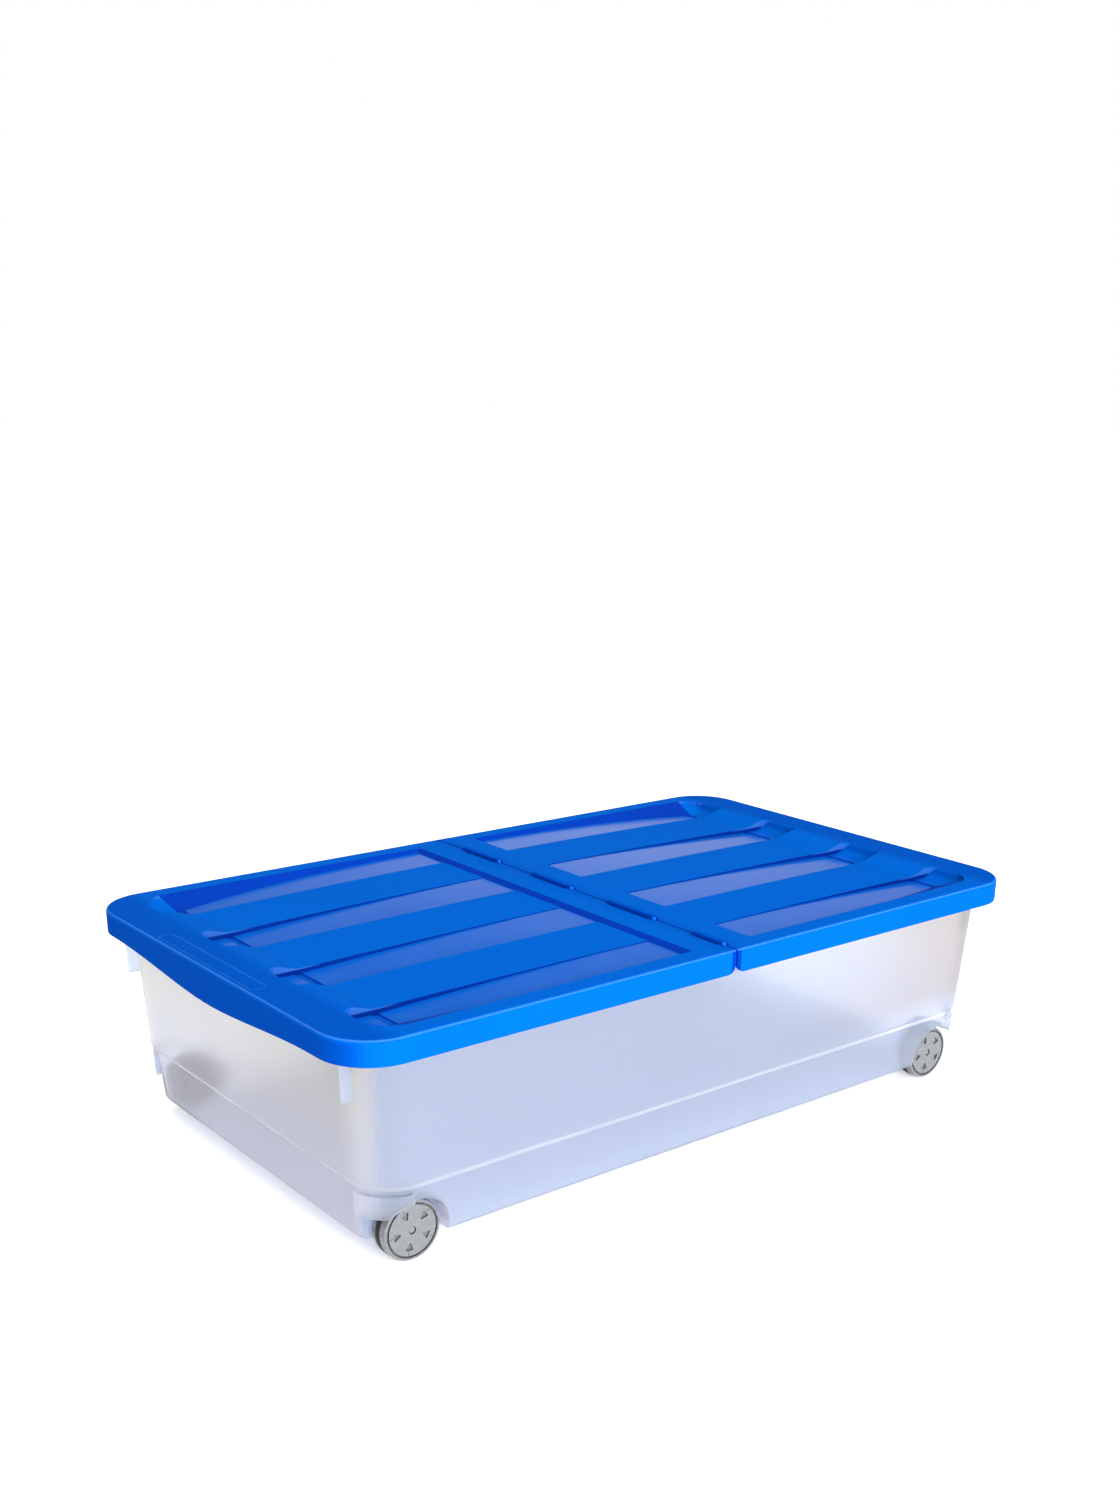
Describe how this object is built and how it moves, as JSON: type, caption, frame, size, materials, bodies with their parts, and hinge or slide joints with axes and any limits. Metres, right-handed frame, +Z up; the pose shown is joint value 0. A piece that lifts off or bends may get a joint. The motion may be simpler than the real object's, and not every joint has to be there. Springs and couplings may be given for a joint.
{
  "type": "under bed box",
  "caption": "Low translucent storage box on wheels for the space under a bed, with a blue lid of two flaps hinged across the middle",
  "frame": {"origin": "on the floor under the middle of the box, where the wheels touch", "axes": "X runs along the length of the box, Y across its width with the rear long side at +Y, Z up; the left flap is at -X"},
  "size_m": [0.79, 0.466, 0.2182],
  "materials": {
    "clear_plastic": "translucent moulded polypropylene, softly glossy",
    "blue_plastic": "opaque blue moulding, satin with glossy channel floors",
    "blue_pin_plastic": "smooth blue moulded pins",
    "wheel_plastic": "smoke grey translucent moulding",
    "tyre_rubber": "dull dark grey ring",
    "axle_plastic": "pale grey moulded pin"
  },
  "bodies": {
    "box": {"box_body": "clear_plastic", "axle_pin_front_left": "axle_plastic", "axle_pin_front_right": "axle_plastic", "axle_pin_rear_left": "axle_plastic", "axle_pin_rear_right": "axle_plastic"},
    "lid_hinge": {"hinge_pin_1": "blue_pin_plastic", "hinge_pin_2": "blue_pin_plastic", "hinge_pin_3": "blue_pin_plastic", "hinge_pin_4": "blue_pin_plastic"},
    "flap_left": {"lid_flap_left": "blue_plastic"},
    "flap_right": {"lid_flap_right": "blue_plastic"},
    "wheel_front_left": {"wheel_outer_disc_front_left": "wheel_plastic", "wheel_tyre_front_left": "tyre_rubber", "wheel_inner_disc_front_left": "wheel_plastic"},
    "wheel_front_right": {"wheel_outer_disc_front_right": "wheel_plastic", "wheel_tyre_front_right": "tyre_rubber", "wheel_inner_disc_front_right": "wheel_plastic"},
    "wheel_rear_left": {"wheel_outer_disc_rear_left": "wheel_plastic", "wheel_tyre_rear_left": "tyre_rubber", "wheel_inner_disc_rear_left": "wheel_plastic"},
    "wheel_rear_right": {"wheel_outer_disc_rear_right": "wheel_plastic", "wheel_tyre_rear_right": "tyre_rubber", "wheel_inner_disc_rear_right": "wheel_plastic"}
  },
  "joints": [
    {"name": "lid_lift", "type": "slide", "parent": "box", "child": "lid_hinge", "axis": [0, 0, 1], "range_m": [0, 0.25]},
    {"name": "flap_left_hinge", "type": "hinge", "parent": "lid_hinge", "child": "flap_left", "pos_m": [0, 0, 0.2144], "axis": [0, 1, 0], "range_deg": [0, 90]},
    {"name": "flap_right_hinge", "type": "hinge", "parent": "lid_hinge", "child": "flap_right", "pos_m": [0, 0, 0.2144], "axis": [0, -1, 0], "range_deg": [0, 90]},
    {"name": "wheel_front_left_axle", "type": "hinge", "parent": "box", "child": "wheel_front_left", "pos_m": [-0.323, -0.191, 0.0275], "axis": [0, 1, 0], "continuous": true},
    {"name": "wheel_front_right_axle", "type": "hinge", "parent": "box", "child": "wheel_front_right", "pos_m": [0.323, -0.191, 0.0275], "axis": [0, 1, 0], "continuous": true},
    {"name": "wheel_rear_left_axle", "type": "hinge", "parent": "box", "child": "wheel_rear_left", "pos_m": [-0.323, 0.191, 0.0275], "axis": [0, 1, 0], "continuous": true},
    {"name": "wheel_rear_right_axle", "type": "hinge", "parent": "box", "child": "wheel_rear_right", "pos_m": [0.323, 0.191, 0.0275], "axis": [0, 1, 0], "continuous": true}
  ]
}
